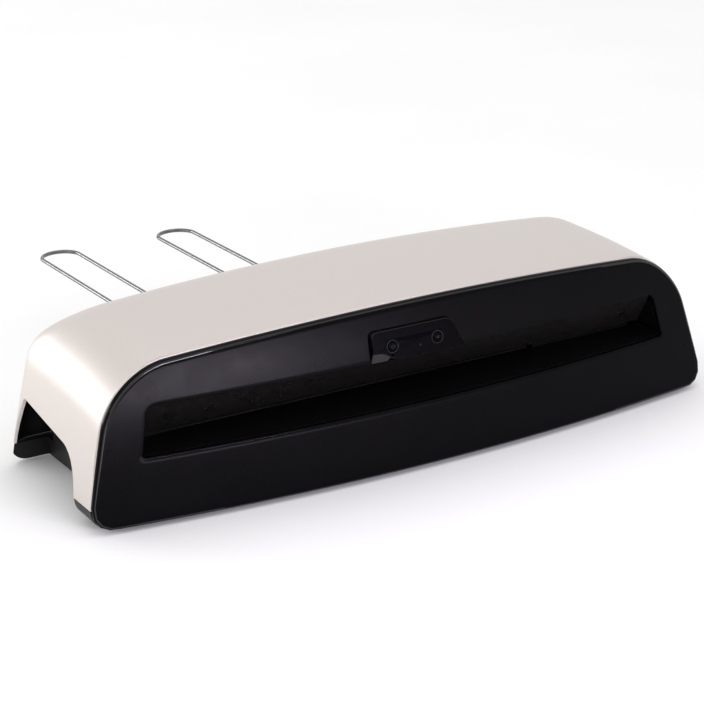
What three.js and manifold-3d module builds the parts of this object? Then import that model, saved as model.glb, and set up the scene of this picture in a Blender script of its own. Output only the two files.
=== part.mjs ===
// Desktop pouch laminator, A3 size: a silver top shell over a black base, a bowed gloss fascia with a wide
// feed recess, four geared rollers between two chassis plates, and two folding wire supports at the rear.
// Millimetres, +Z up, front towards -Y. The model frame has x = 0 at mid width, y = 0 at the front foot of
// the fascia and z = 0 on the table; the exported group is shifted so that its box is centred on the origin.
import * as THREE from "three";
import { mergeVertices } from "three/addons/utils/BufferGeometryUtils.js";
import Module from "manifold-3d";

const wasm = await Module();
wasm.setup();

// ---- Driving dimensions ----
const GAP = 0.3;                 // clearance between touching pieces
const SKIN = 0.4;                // how far the fascia and the base lie below the shell's face
const BEYOND = 300;              // half length of cutters that pass right through the body
const BODY_DEPTH = 196;
const FOOT_HEIGHT = 3;           // underside of the base above the table
const FOOT_HALF_WIDTH = 275;     // half width that the sides lean in from
const SIDE_LEAN = 20.6;          // loss of half width over the first 100 mm of height
const SIDE_CURVE = 4;            // and the extra loss from the sides' curve
const REAR_TAPER = 3;            // loss of half width from front to rear
const CROWN_FRONT = 130.3;       // height of the top at the front edge, mid width
const CROWN_RISE = 6.5;          // extra height where the top is highest
const CROWN_PEAK_Y = 115;
const DROOP_FRONT = 19.8;        // fall of the top from mid width to DROOP_SPAN, at the front
const DROOP_REAR = 14;
const DROOP_SPAN = 260;
const TOP_RADIUS = 40;           // top side corners
const FOOT_RADIUS = 18;          // bottom side corners
const REAR_RADIUS = 58;          // rounding from the top into the rear wall
const REAR_CORNER = 22;          // rounding from the sides into the rear wall
const SHELL_BOTTOM = 18;
const TRAY_HALF = 237;           // side walls of the base, which back the hand holds
const FRONT_SILL_Y = 60.5;       // the base's front sill ends here, where the hand holds start
const REAR_SILL_Y = 186;
const PANEL_THICK = 3;           // rear cover
const PANEL_HALF = 228;
const PANEL_TOP = 78;
const PANEL_BOTTOM = 6;
const WALL = 2.6;
const BOW = 21.8;                // how far the front face curves back at DROOP_SPAN
const LEAN = 16 / 120;           // and how far it leans back per mm of height
const FASCIA_THICK = 4;

const FLOOR_Z = 52;              // floor of the feed recess
const RECESS_TOP = 88.5;
const RECESS_HALF_LOW = 230.5;
const RECESS_HALF_HIGH = 223;
const RECESS_CORNER = 9;
const SLIT_Y = 57;
const SLIT_HEIGHT = 5;
const NIP_Z = 55;                // height of the sheet between the rollers
const FEED_X = -34;              // middle of the feed path
const FEED_HALF = 162;
const GUIDE_SHEET = 2.5;         // wall of the front guides

const ROLLER_RADIUS = 9.85;
const SHAFT_RADIUS = 4;
const BORE_RADIUS = 4.2;
const SLEEVE_HALF = 165;
const BUSH_RADIUS = 6;
const BUSH_HOLE = 6.3;
const BUSH_FLANGE = 7.2;
const ROLLER_Y = { front: 100, rear: 140 };
const AXIS_Z = { lower: NIP_Z - 10, upper: NIP_Z + 10 };
const PLATE_X = { left: FEED_X - 172, right: FEED_X + 172 };
const PLATE_THICK = 2;
const GEAR_X = PLATE_X.right + 8;
const GEAR_WIDTH = 7;
const GEAR_END = GEAR_X + GEAR_WIDTH;
const MODULE = 1;
const ROLLER_TEETH = 20;
const PINION_TEETH = 14;

const WIRE_RADIUS = 1.75;
const WIRE_LEG_SPACING = 35;
const WIRE_BEND = 4;
const WIRE_PIVOT_Y = 201;
const WIRE_Z = 60;
const WIRE_TIP_Y = 506;
const WIRE_OFFSET = 58;          // each support from the middle of the feed path

const REAR_LIP_Z = 64;
const REAR_MOUTH_TOP = 76;
const SWITCH = { x: 178, z: 42, pivotY: 192, tilt: 7 };
const GLAND = { x: 208, z: 36, radius: 6 };

const BUTTON_Z = 100;
const BUTTON_X = { power: -30, mode: 9 };
const POD_PROUD = 3.6;
const POD_BOTTOM = 88.8;
const CAP_RADIUS = 3.9;
const RING_RADIUS = 5.3;

// ---- Finishes ----
function finish(color, roughness, metalness) {
  return new THREE.MeshStandardMaterial({ color, roughness, metalness });
}

const silver = () => finish(0xcfc8c3, 0.35, 0.5);
const glossBlack = () => finish(0x0c0a0e, 0.08, 0);
const satinBlack = () => finish(0x131215, 0.45, 0);
const steel = () => finish(0xb4b6b9, 0.3, 1);
const chrome = () => finish(0xdedfe2, 0.12, 1);
const silicone = () => finish(0xa94a32, 0.8, 0);
const acetal = () => finish(0xeeeae0, 0.4, 0);
const rubber = () => finish(0x1a1a1a, 0.9, 0);
const lightRing = () => finish(0xb9c4d6, 0.2, 0);
const aluminium = () => finish(0xc2c5c8, 0.35, 1);
const boardGreen = () => finish(0x1d6a3c, 0.5, 0);

const machine = new THREE.Group();

// ---- Solids ----
function solid(geometry) {
  const bare = geometry.index ? geometry.toNonIndexed() : geometry.clone();
  bare.deleteAttribute("normal");
  bare.deleteAttribute("uv");
  const merged = mergeVertices(bare, 1e-4);
  return new wasm.Manifold(new wasm.Mesh({
    numProp: 3,
    vertProperties: merged.attributes.position.array,
    triVerts: new Uint32Array(merged.index.array),
  }));
}

function geometryOf(piece) {
  const mesh = piece.getMesh();
  const geometry = new THREE.BufferGeometry();
  geometry.setAttribute("position", new THREE.BufferAttribute(mesh.vertProperties, 3));
  geometry.setIndex(new THREE.BufferAttribute(mesh.triVerts, 1));
  return geometry;
}

function add(name, piece, material, parent = machine) {
  const geometry = piece.isBufferGeometry ? piece : geometryOf(piece);
  const mesh = new THREE.Mesh(geometry, material);
  mesh.name = name;
  parent.add(mesh);
  return mesh;
}

function block(x0, x1, y0, y1, z0, z1) {
  const geometry = new THREE.BoxGeometry(x1 - x0, y1 - y0, z1 - z0);
  return solid(geometry.translate((x0 + x1) / 2, (y0 + y1) / 2, (z0 + z1) / 2));
}

// Cylinders along X, Y and Z, from one end to the other.
function rodX(radius, x0, x1, y, z, sides = 16) {
  const geometry = new THREE.CylinderGeometry(radius, radius, x1 - x0, sides);
  return solid(geometry.rotateZ(Math.PI / 2).translate((x0 + x1) / 2, y, z));
}

function rodY(radius, y0, y1, x, z, sides = 16) {
  const geometry = new THREE.CylinderGeometry(radius, radius, y1 - y0, sides);
  return solid(geometry.translate(x, (y0 + y1) / 2, z));
}

function rodZ(radius, z0, z1, x, y, sides = 16) {
  const geometry = new THREE.CylinderGeometry(radius, radius, z1 - z0, sides);
  return solid(geometry.rotateX(Math.PI / 2).translate(x, y, (z0 + z1) / 2));
}

const union = (...pieces) => pieces.reduce((all, piece) => all.add(piece));

// An outline in X and Z, carried along Y.
function prismY(shape, y0, y1, segments = 6) {
  const options = { depth: y1 - y0, bevelEnabled: false, curveSegments: segments };
  return solid(new THREE.ExtrudeGeometry(shape, options).rotateX(Math.PI / 2).translate(0, y1, 0));
}

// An outline in Y and Z, carried along X.
function prismX(shape, x0, x1, segments = 6) {
  const options = { depth: x1 - x0, bevelEnabled: false, curveSegments: segments };
  const geometry = new THREE.ExtrudeGeometry(shape, options);
  return solid(geometry.rotateY(Math.PI / 2).rotateX(Math.PI / 2).translate(x0, 0, 0));
}

const outline = (...corners) => new THREE.Shape(corners.map(([a, b]) => new THREE.Vector2(a, b)));

// A box outline with round corners, from its lowest and highest corners.
function roundedBox(a0, a1, b0, b1, radius) {
  const shape = new THREE.Shape();
  shape.absarc(a1 - radius, b0 + radius, radius, -Math.PI / 2, 0);
  shape.absarc(a1 - radius, b1 - radius, radius, 0, Math.PI / 2);
  shape.absarc(a0 + radius, b1 - radius, radius, Math.PI / 2, Math.PI);
  shape.absarc(a0 + radius, b0 + radius, radius, Math.PI, Math.PI * 1.5);
  shape.closePath();
  return shape;
}

// ---- The body's outer form ----
const halfWidth = (y, z) => {
  const rise = (z - FOOT_HEIGHT) / 100;
  return FOOT_HALF_WIDTH - SIDE_LEAN * rise - SIDE_CURVE * rise * rise - REAR_TAPER * y / BODY_DEPTH;
};

const topHeight = (x, y) => {
  const toPeak = Math.max(0, CROWN_PEAK_Y - y) / (CROWN_PEAK_Y - LEAN * CROWN_FRONT);
  const droop = DROOP_FRONT + (DROOP_REAR - DROOP_FRONT) * Math.min(1, Math.max(0, y / 150));
  return CROWN_FRONT + CROWN_RISE * (1 - toPeak * toPeak) - droop * (x / DROOP_SPAN) ** 2;
};

// Depth below a corner rounded between two faces, from the depths below each face.
const rounded = (a, b, radius) =>
  a < radius && b < radius ? radius - Math.hypot(radius - a, radius - b) : Math.min(a, b);

const smooth = (t) => THREE.MathUtils.smoothstep(t, 0, 1);

function depthInside(x, y, z) {
  const side = halfWidth(y, z) - Math.abs(x);
  const top = topHeight(x, y) - z;
  const rearRadius = THREE.MathUtils.lerp(REAR_CORNER, REAR_RADIUS, smooth((side - top) / 60 + 0.5));
  const upper = rounded(rounded(side, top, TOP_RADIUS), BODY_DEPTH - y, rearRadius);
  return Math.min(upper, rounded(side, z - FOOT_HEIGHT, FOOT_RADIUS));
}

// Where a line from (x, z) at an angle meets the surface that lies inset below the body's surface.
function surfacePoint(x, y, z, angle, inset) {
  let near = 0;
  let far = 300;
  for (let i = 0; i < 40; i++) {
    const middle = (near + far) / 2;
    const inside = depthInside(x + middle * Math.cos(angle), y, z + middle * Math.sin(angle)) > inset;
    if (inside) near = middle;
    else far = middle;
  }
  return new THREE.Vector3(x + near * Math.cos(angle), y, z + near * Math.sin(angle));
}

// One cross-section of the body, counter-clockwise as seen from the front.
function section(y, inset) {
  const right = [];
  const footCentre = { x: halfWidth(y, FOOT_RADIUS) - 26, z: FOOT_HEIGHT + FOOT_RADIUS };
  const topCentre = { x: 208, z: 60 };
  for (let i = 0; i <= 3; i++) {
    right.push(surfacePoint(footCentre.x, y, footCentre.z, (i / 3 - 1) * Math.PI / 2, inset));
  }
  right.push(surfacePoint(topCentre.x, y, 42, 0, inset));
  for (let i = 0; i <= 6; i++) {
    right.push(surfacePoint(topCentre.x, y, topCentre.z, i / 6 * Math.PI / 2, inset));
  }
  for (const share of [0.75, 0.5, 0.25]) {
    right.push(surfacePoint(topCentre.x * share, y, topCentre.z, Math.PI / 2, inset));
  }
  const left = right.map((p) => new THREE.Vector3(-p.x, p.y, p.z)).reverse();
  return [...right, surfacePoint(0, y, topCentre.z, Math.PI / 2, inset), ...left];
}

// Skins a row of cross-sections into one closed geometry.
function loft(rings) {
  const count = rings[0].length;
  const cap = THREE.ShapeUtils.triangulateShape(rings[0].map((p) => new THREE.Vector2(p.x, p.z)), []);
  const index = cap.flat();
  const last = (rings.length - 1) * count;
  for (const [a, b, c] of cap) index.push(last + a, last + c, last + b);
  for (let i = 0; i < rings.length - 1; i++) {
    for (let j = 0; j < count; j++) {
      const a = i * count + j;
      const b = i * count + (j + 1) % count;
      index.push(a, a + count, b, b, a + count, b + count);
    }
  }
  const geometry = new THREE.BufferGeometry().setFromPoints(rings.flat());
  return geometry.setIndex(index);
}

function bodyForm(inset) {
  const last = BODY_DEPTH - inset - 0.02;
  const rounding = [0, 0.3, 0.55, 0.75, 0.88, 0.96].map((share) => BODY_DEPTH - REAR_RADIUS * (1 - share));
  const stations = [-12, 20, 60, CROWN_PEAK_Y, ...rounding.filter((y) => y < last), last];
  return solid(loft(stations.map((y) => section(y, inset))));
}

// Everything between two depths behind the bowed and leaning front face.
function frontSlab(from, to) {
  const columns = 16;
  const reach = 320;
  const at = (i) => -reach + 2 * reach * i / columns;
  const bow = (x) => BOW * (x / DROOP_SPAN) ** 2;
  const corners = [];
  for (let i = 0; i <= columns; i++) corners.push([at(i), bow(at(i)) + from]);
  if (to > BODY_DEPTH) corners.push([reach, to], [-reach, to]);
  else for (let i = columns; i >= 0; i--) corners.push([at(i), bow(at(i)) + to]);
  const geometry = new THREE.ExtrudeGeometry(outline(...corners), { depth: 180, bevelEnabled: false });
  geometry.translate(0, 0, -20);
  return solid(geometry.applyMatrix4(new THREE.Matrix4().makeShear(0, 0, 0, 0, 0, LEAN)));
}

const behindFascia = frontSlab(FASCIA_THICK + GAP, 700);

// The feed recess as seen from the front, grown outwards by an amount.
function recessShape(grow, top = RECESS_TOP + grow) {
  const slope = (RECESS_HALF_LOW - RECESS_HALF_HIGH) / (RECESS_TOP - FLOOR_Z);
  const half = (z) => RECESS_HALF_LOW + grow - slope * (z - FLOOR_Z);
  const r = RECESS_CORNER + grow;
  const shape = new THREE.Shape();
  shape.moveTo(-half(FLOOR_Z - grow), FLOOR_Z - grow);
  shape.lineTo(half(FLOOR_Z - grow), FLOOR_Z - grow);
  shape.absarc(half(top - r) - r, top - r, r, 0, Math.PI / 2);
  shape.absarc(r - half(top - r), top - r, r, Math.PI / 2, Math.PI);
  return shape;
}

// ---- Casings ----
function archCut() {
  const arch = new THREE.Shape();
  arch.moveTo(61, -10);
  arch.lineTo(61, SHELL_BOTTOM);
  arch.quadraticCurveTo(68, 44, 90, 49);
  arch.lineTo(169, 58);
  arch.quadraticCurveTo(172, 58, 173, 55);
  arch.lineTo(185, SHELL_BOTTOM);
  arch.lineTo(185, -10);
  return prismX(arch, -BEYOND, BEYOND, 5);
}

function rearPanel(grow, y0, y1) {
  const half = PANEL_HALF + grow;
  return prismY(roundedBox(-half, half, PANEL_BOTTOM, PANEL_TOP + grow, 8 + grow), y0, y1, 3);
}

function topShell() {
  const shell = bodyForm(0).subtract(bodyForm(WALL)).intersect(behindFascia);
  const low = block(-BEYOND, BEYOND, -40, 260, -20, SHELL_BOTTOM);
  return shell.subtract(low).subtract(archCut()).subtract(rearPanel(GAP, 180, 210));
}

function frontFascia() {
  const plate = bodyForm(SKIN).intersect(frontSlab(0, FASCIA_THICK));
  return plate.subtract(prismY(recessShape(0), -40, 100, 4));
}

function baseTray() {
  const insideFascia = frontSlab(FASCIA_THICK + GAP + WALL, 700);
  const rim = SHELL_BOTTOM - GAP;
  const sills = union(
    block(-BEYOND, BEYOND, -40, FRONT_SILL_Y, -10, rim),
    block(-BEYOND, BEYOND, REAR_SILL_Y, 230, -10, rim),
  );
  const sillHollows = union(
    block(-BEYOND, BEYOND, -40, FRONT_SILL_Y - WALL, -10, 60),
    block(-BEYOND, BEYOND, REAR_SILL_Y + WALL, 230, -10, 60),
  );
  const inner = TRAY_HALF - WALL;
  const rearY = BODY_DEPTH - PANEL_THICK - GAP;
  const tray = block(-TRAY_HALF, TRAY_HALF, -20, rearY, FOOT_HEIGHT, 92);
  const hollow = block(-inner, inner, -20, rearY - WALL, FOOT_HEIGHT + WALL, 100).intersect(insideFascia);
  const cuts = union(
    block(-inner, inner, -20, 62, 46, 100),
    block(-inner, inner, 150, 230, rim, 100),
    block(-BEYOND, BEYOND, 176, 230, 60, 100),
  );
  const pan = block(-TRAY_HALF, TRAY_HALF, -20, rearY, -10, 100);
  const sillInside = bodyForm(SKIN + WALL).intersect(sillHollows).intersect(insideFascia).subtract(pan);
  const outside = tray.add(bodyForm(SKIN).intersect(sills)).intersect(behindFascia);
  return outside.subtract(union(hollow, cuts)).subtract(sillInside);
}

function frontGuideLower() {
  const outer = prismY(recessShape(GUIDE_SHEET), -40, 62, 4);
  const walls = outer.subtract(prismY(recessShape(0, 200), -60, 80, 4));
  return walls.intersect(behindFascia).subtract(block(-BEYOND, BEYOND, -40, 100, 80, 120));
}

function frontGuideUpper() {
  const lip = FLOOR_Z + SLIT_HEIGHT;
  const ceiling = RECESS_TOP + GAP;
  const profile = outline([-10, ceiling], [30, ceiling], [SLIT_Y - 1, lip], [SLIT_Y + 5, lip],
    [SLIT_Y + 5, lip + GUIDE_SHEET], [SLIT_Y + 1, lip + GUIDE_SHEET], [31.5, ceiling + GUIDE_SHEET],
    [-10, ceiling + GUIDE_SHEET]);
  const between = prismY(recessShape(-GAP, 110), -40, 100, 4);
  return prismX(profile, -250, 250).intersect(between).intersect(behindFascia);
}

const tilt = Math.atan(LEAN);
const buttonPlace = (x) => ({ x, y: BOW * (x / DROOP_SPAN) ** 2 + LEAN * BUTTON_Z - POD_PROUD, z: BUTTON_Z });

// A turned piece on a button's axis, which is square to the leaning face; depths count inwards from the pod.
function onButton(x, radius, from, to, sides = 20) {
  const geometry = new THREE.CylinderGeometry(radius, radius, to - from, sides);
  const place = buttonPlace(x);
  geometry.translate(0, (from + to) / 2, 0).rotateX(-tilt);
  return solid(geometry.translate(place.x, place.y, place.z));
}

const buttonWells = () => union(...Object.values(BUTTON_X).flatMap((x) => [
  onButton(x, RING_RADIUS + GAP, -4, 1.6),
  onButton(x, CAP_RADIUS + 0.4, -4, 10),
]));

function controlPod() {
  const shape = new THREE.Shape();
  shape.moveTo(-47.5, POD_BOTTOM);
  shape.lineTo(34, POD_BOTTOM);
  shape.lineTo(24, 110);
  shape.quadraticCurveTo(22, 113.4, 18, 113.4);
  shape.lineTo(-41, 113.4);
  shape.quadraticCurveTo(-47.5, 113.4, -47.5, 107);
  return prismY(shape, -40, 60, 5).intersect(frontSlab(-POD_PROUD, -GAP)).subtract(buttonWells());
}

function button(x) {
  return onButton(x, CAP_RADIUS, -0.7, 6);
}

function buttonRing(x) {
  return onButton(x, RING_RADIUS, 0, 1.3).subtract(onButton(x, CAP_RADIUS + 0.35, -3, 4));
}

function rearCover() {
  const before = BODY_DEPTH - 16;
  const after = BODY_DEPTH + 14;
  const through = (shape, segments) => prismY(shape, before, after, segments);
  const below = block(-BEYOND, BEYOND, before, after, -10, SHELL_BOTTOM);
  const panel = rearPanel(0, BODY_DEPTH - PANEL_THICK, BODY_DEPTH).subtract(below);
  const mouth = roundedBox(FEED_X - FEED_HALF, FEED_X + FEED_HALF, REAR_LIP_Z, REAR_MOUTH_TOP, 3);
  let cover = panel.subtract(through(mouth, 2));
  const vents = 14;
  const spacing = 16;
  for (let i = 0; i < vents; i++) {
    const x = FEED_X + spacing * (i - (vents - 1) / 2);
    cover = cover.subtract(block(x - 1.6, x + 1.6, before, after, 26, 46));
  }
  cover = cover.subtract(block(SWITCH.x - 7, SWITCH.x + 7, before, after, SWITCH.z - 11, SWITCH.z + 11));
  return cover.subtract(rodY(GLAND.radius + GAP, before, after, GLAND.x, GLAND.z));
}

function rearGuide(outerZ, innerZ, thickness) {
  const outerY = BODY_DEPTH - PANEL_THICK - GAP;
  const innerY = ROLLER_Y.rear + 12;
  const profile = outline([innerY, innerZ], [outerY, outerZ], [outerY, outerZ + thickness],
    [innerY, innerZ + thickness]);
  return prismX(profile, FEED_X - FEED_HALF, FEED_X + FEED_HALF);
}

// ---- Turning parts ----
// One tooth gear in Y and Z with its first tooth at an angle, stub involute teeth.
function gear(teeth, phase, bore, x, y, z) {
  const pitch = MODULE * teeth / 2;
  const base = pitch * Math.cos(THREE.MathUtils.degToRad(20));
  const root = pitch - 1.05 * MODULE;
  const tip = pitch + 0.8 * MODULE;
  const roll = (radius) => Math.sqrt(Math.max(0, (radius / base) ** 2 - 1));
  const sweep = (radius) => roll(radius) - Math.atan(roll(radius));
  const halfTooth = (Math.PI / 2 - 0.17) / (2 * pitch);
  const halfAt = (radius) => halfTooth + sweep(pitch) - sweep(radius);
  const corners = [];
  for (let i = 0; i < teeth; i++) {
    const centre = phase + 2 * Math.PI * i / teeth;
    const flanks = [[root, -halfAt(root)], [tip, -halfAt(tip)], [tip, halfAt(tip)], [root, halfAt(root)]];
    for (const [radius, angle] of flanks) {
      const a = centre + angle;
      corners.push([y + radius * Math.cos(a), z + radius * Math.sin(a)]);
    }
  }
  const wheel = prismX(outline(...corners), x, x + GEAR_WIDTH);
  return bore ? wheel.subtract(rodX(bore, x - 5, x + 20, y, z)) : wheel;
}

// The first-tooth angle that puts gear B in mesh with gear A, which lies in the opposite direction.
function meshPhase(teethA, phaseA, direction, teethB) {
  return direction + Math.PI - (Math.PI - teethA * (direction - phaseA)) / teethB;
}

const IDLER_Y = (ROLLER_Y.front + ROLLER_Y.rear) / 2;
const UP = Math.PI / 2;
const phase = { frontLower: 0 };
phase.frontUpper = meshPhase(ROLLER_TEETH, phase.frontLower, UP, ROLLER_TEETH);
phase.idler = meshPhase(ROLLER_TEETH, phase.frontLower, 0, ROLLER_TEETH);
phase.rearLower = meshPhase(ROLLER_TEETH, phase.idler, 0, ROLLER_TEETH);
phase.rearUpper = meshPhase(ROLLER_TEETH, phase.rearLower, UP, ROLLER_TEETH);
phase.pinion = meshPhase(ROLLER_TEETH, phase.idler, UP, PINION_TEETH);
const PINION_Z = AXIS_Z.lower + MODULE * (ROLLER_TEETH + PINION_TEETH) / 2;

function bush(side, y, z) {
  const out = side === "left" ? -1 : 1;
  const face = side === "left" ? PLATE_X.left : PLATE_X.right + PLATE_THICK;
  const spans = [face - out * (PLATE_THICK + 1), face + out * GAP, face + out * 4.5].sort((a, b) => a - b);
  const [from, to] = side === "left" ? spans.slice(0, 2) : spans.slice(1);
  const flange = rodX(BUSH_FLANGE, from, to, y, z);
  const barrel = rodX(BUSH_RADIUS, spans[0], spans[2], y, z);
  return barrel.add(flange).subtract(rodX(BORE_RADIUS, face - 20, face + 20, y, z));
}

function roller(row, level) {
  const y = ROLLER_Y[row];
  const z = AXIS_Z[level];
  const name = `${row}_roller_${level}`;
  const key = row + (level === "upper" ? "Upper" : "Lower");
  const sleeve = rodX(ROLLER_RADIUS, FEED_X - SLEEVE_HALF, FEED_X + SLEEVE_HALF, y, z, 24);
  add(name, sleeve.subtract(rodX(BORE_RADIUS, -BEYOND, BEYOND, y, z)), silicone());
  add(`${row}_shaft_${level}`, rodX(SHAFT_RADIUS, PLATE_X.left - 7, GEAR_END + 2, y, z), steel());
  add(`${row}_gear_${level}`, gear(ROLLER_TEETH, phase[key], BORE_RADIUS, GEAR_X, y, z), acetal());
  for (const side of ["left", "right"]) {
    add(`${row}_bush_${level}_${side}`, bush(side, y, z), acetal());
  }
}

function pressureSpring(side, y) {
  const turns = 4;
  const coil = 1.9;
  const bottom = AXIS_Z.upper + BUSH_FLANGE + 1;
  const top = 84;
  const x = side === "left" ? PLATE_X.left - 2.6 : PLATE_X.right + PLATE_THICK + 2.6;
  class Helix extends THREE.Curve {
    getPoint(t, target = new THREE.Vector3()) {
      const angle = 2 * Math.PI * turns * t;
      const z = bottom + (top - bottom) * t;
      return target.set(x + coil * Math.cos(angle), y + coil * Math.sin(angle), z);
    }
  }
  const section = new THREE.Shape().absarc(0, 0, 0.4, 0, 2 * Math.PI);
  const options = { steps: turns * 6, extrudePath: new Helix(), curveSegments: 3, bevelEnabled: false };
  return solid(new THREE.ExtrudeGeometry(section, options));
}

function chassisPlate(side) {
  const x0 = PLATE_X[side];
  const x1 = x0 + PLATE_THICK;
  const shelf = side === "left" ? block(x0 - 7, x1, 90, 150, 85, 87) : block(x0, x1 + 7, 90, 150, 85, 87);
  const foot = side === "left" ? block(x0, x1 + 10, 70, 155, 6, 8) : block(x0 - 10, x1, 70, 155, 6, 8);
  let plate = prismX(roundedBox(63, 162, 6, 87, 4), x0, x1, 3).add(shelf).add(foot);
  for (const y of Object.values(ROLLER_Y)) {
    plate = plate.subtract(rodX(BUSH_HOLE, x0 - 9, x1 + 9, y, AXIS_Z.lower));
    plate = plate.subtract(rodX(BUSH_HOLE, x0 - 9, x1 + 9, y, AXIS_Z.upper));
    const travel = block(x0 - 9, x1 + 9, y - BUSH_HOLE, y + BUSH_HOLE, AXIS_Z.upper, AXIS_Z.upper + 2);
    plate = plate.subtract(travel);
  }
  if (side === "left") return plate;
  return plate.add(rodX(SHAFT_RADIUS, x0, GEAR_END + 2, IDLER_Y, AXIS_Z.lower));
}

function crossRail(y0, z0) {
  const x0 = PLATE_X.left + PLATE_THICK + GAP;
  const x1 = PLATE_X.right - GAP;
  return union(block(x0, x1, y0, y0 + 14, z0, z0 + 1.5), block(x0, x1, y0, y0 + 1.5, z0, z0 + 10));
}

function heaterPlate(level) {
  const sign = level === "upper" ? 1 : -1;
  const face = NIP_Z + sign * 1.8;
  const at = (d) => face + sign * d;
  const profile = outline([66, at(1.5)], [68, at(0)], [87, at(0)], [87, at(2.5)], [70, at(2.5)], [70, at(7)],
    [66, at(7)]);
  return prismX(profile, FEED_X - FEED_HALF, FEED_X + FEED_HALF);
}

function motorBracket() {
  const x = GEAR_END + 6;
  let bracket = prismX(roundedBox(79, 161, 37, 84, 4), x, x + 2, 3);
  for (const y of [84, 156]) {
    for (const z of [42, 79]) {
      bracket = bracket.add(rodX(3, PLATE_X.right + PLATE_THICK + GAP, x + 1, y, z, 10));
    }
  }
  return bracket.subtract(rodX(6, x - 5, x + 10, IDLER_Y, PINION_Z));
}

function gearMotor() {
  const x = GEAR_END + 8 + GAP;
  const box = prismX(roundedBox(IDLER_Y - 22, IDLER_Y + 22, PINION_Z - 20, PINION_Z + 20, 6), x, x + 14, 3);
  const can = rodX(17, x + 13, x + 46, IDLER_Y, PINION_Z, 24);
  const tail = rodX(6, x + 45, x + 50, IDLER_Y, PINION_Z, 12);
  return union(box, can, tail).subtract(rodX(3, x - 2, x + 10, IDLER_Y, PINION_Z, 12));
}

function pinion() {
  const shaft = rodX(2.5, GEAR_X + 1, GEAR_END + 16, IDLER_Y, PINION_Z, 12);
  return gear(PINION_TEETH, phase.pinion, 0, GEAR_X, IDLER_Y, PINION_Z).add(shaft);
}

// ---- Electrical parts ----
function powerBoard() {
  const top = 11.6;
  return union(
    block(156, 228, 68, 172, 10, top),
    block(164, 192, 76, 104, top - 0.5, 30),
    block(202, 222, 80, 98, top - 0.5, 26),
    rodZ(7, top - 0.5, 31, 178, 120, 12),
    rodZ(5, top - 0.5, 27, 196, 122, 10),
    block(166, 186, 146, 164, top - 0.5, 24),
    block(204, 218, 130, 160, top - 0.5, 28),
  );
}

// ---- Wire supports ----
function wireSupport(x) {
  const half = WIRE_LEG_SPACING / 2;
  const bend = WIRE_BEND;
  const pin = 9;
  const turn = WIRE_TIP_Y - WIRE_RADIUS - half;
  const path = new THREE.CurvePath();
  const at = (dx, y) => new THREE.Vector3(x + dx, y, WIRE_Z);
  const line = (a, b) => path.add(new THREE.LineCurve3(a, b));
  const curve = (a, b, c) => path.add(new THREE.QuadraticBezierCurve3(a, b, c));
  class Tip extends THREE.Curve {
    getPoint(t, target = new THREE.Vector3()) {
      const angle = Math.PI * t;
      return target.copy(at(-half * Math.cos(angle), turn + half * Math.sin(angle)));
    }
  }
  line(at(-half + pin, WIRE_PIVOT_Y), at(-half + bend, WIRE_PIVOT_Y));
  curve(at(-half + bend, WIRE_PIVOT_Y), at(-half, WIRE_PIVOT_Y), at(-half, WIRE_PIVOT_Y + bend));
  line(at(-half, WIRE_PIVOT_Y + bend), at(-half, turn));
  path.add(new Tip());
  line(at(half, turn), at(half, WIRE_PIVOT_Y + bend));
  curve(at(half, WIRE_PIVOT_Y + bend), at(half, WIRE_PIVOT_Y), at(half - bend, WIRE_PIVOT_Y));
  line(at(half - bend, WIRE_PIVOT_Y), at(half - pin, WIRE_PIVOT_Y));
  return sweep(path, [1, 2, 1, 10, 1, 2, 1], WIRE_RADIUS, 8);
}

// A round wire along a path, with its own number of steps on each stretch.
function sweep(path, steps, radius, sides) {
  const points = [];
  path.curves.forEach((curve, i) => {
    for (let k = i ? 1 : 0; k <= steps[i]; k++) {
      const t = k / steps[i];
      points.push([curve.getPoint(t), curve.getTangent(t)]);
    }
  });
  const up = new THREE.Vector3(0, 0, 1);
  const rings = points.map(([centre, tangent]) => {
    const across = new THREE.Vector3().crossVectors(tangent, up);
    return Array.from({ length: sides }, (_, k) => {
      const angle = 2 * Math.PI * k / sides;
      return centre.clone().addScaledVector(across, radius * Math.cos(angle))
        .addScaledVector(up, radius * Math.sin(angle));
    });
  });
  const index = [];
  for (let k = 1; k < sides - 1; k++) index.push(0, k, k + 1);
  for (let i = 0; i < rings.length - 1; i++) {
    for (let k = 0; k < sides; k++) {
      const a = i * sides + k;
      const b = i * sides + (k + 1) % sides;
      index.push(a, a + sides, b, b, a + sides, b + sides);
    }
  }
  const last = (rings.length - 1) * sides;
  for (let k = 1; k < sides - 1; k++) index.push(last, last + k + 1, last + k);
  return solid(new THREE.BufferGeometry().setFromPoints(rings.flat()).setIndex(index));
}

function wireClip(x) {
  const inner = WIRE_LEG_SPACING / 2 - WIRE_BEND - GAP;
  const body = prismX(roundedBox(BODY_DEPTH + GAP, WIRE_PIVOT_Y + 4.5, WIRE_Z - 6, REAR_LIP_Z - 0.2, 1.5),
    x - inner, x + inner, 2);
  return body.subtract(rodX(WIRE_RADIUS + 0.25, x - 40, x + 40, WIRE_PIVOT_Y, WIRE_Z, 16));
}

// The rocker key about its pivot, pressed down on one side.
function rocker() {
  const profile = outline([-3, -8], [5.4, -9.6], [4.6, 0], [5.4, 9.6], [-3, 8]);
  return prismX(profile, -6, 6);
}

function cordGland() {
  const { x, z, radius } = GLAND;
  const sleeve = rodY(radius, BODY_DEPTH - 6, BODY_DEPTH + GAP, x, z);
  const collar = rodY(radius + 2.5, BODY_DEPTH + GAP, BODY_DEPTH + 4, x, z, 20);
  const nose = rodY(radius, BODY_DEPTH + 3, BODY_DEPTH + 9, x, z);
  return union(sleeve, collar, nose).subtract(rodY(3.6, BODY_DEPTH - 20, BODY_DEPTH + 20, x, z));
}

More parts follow.
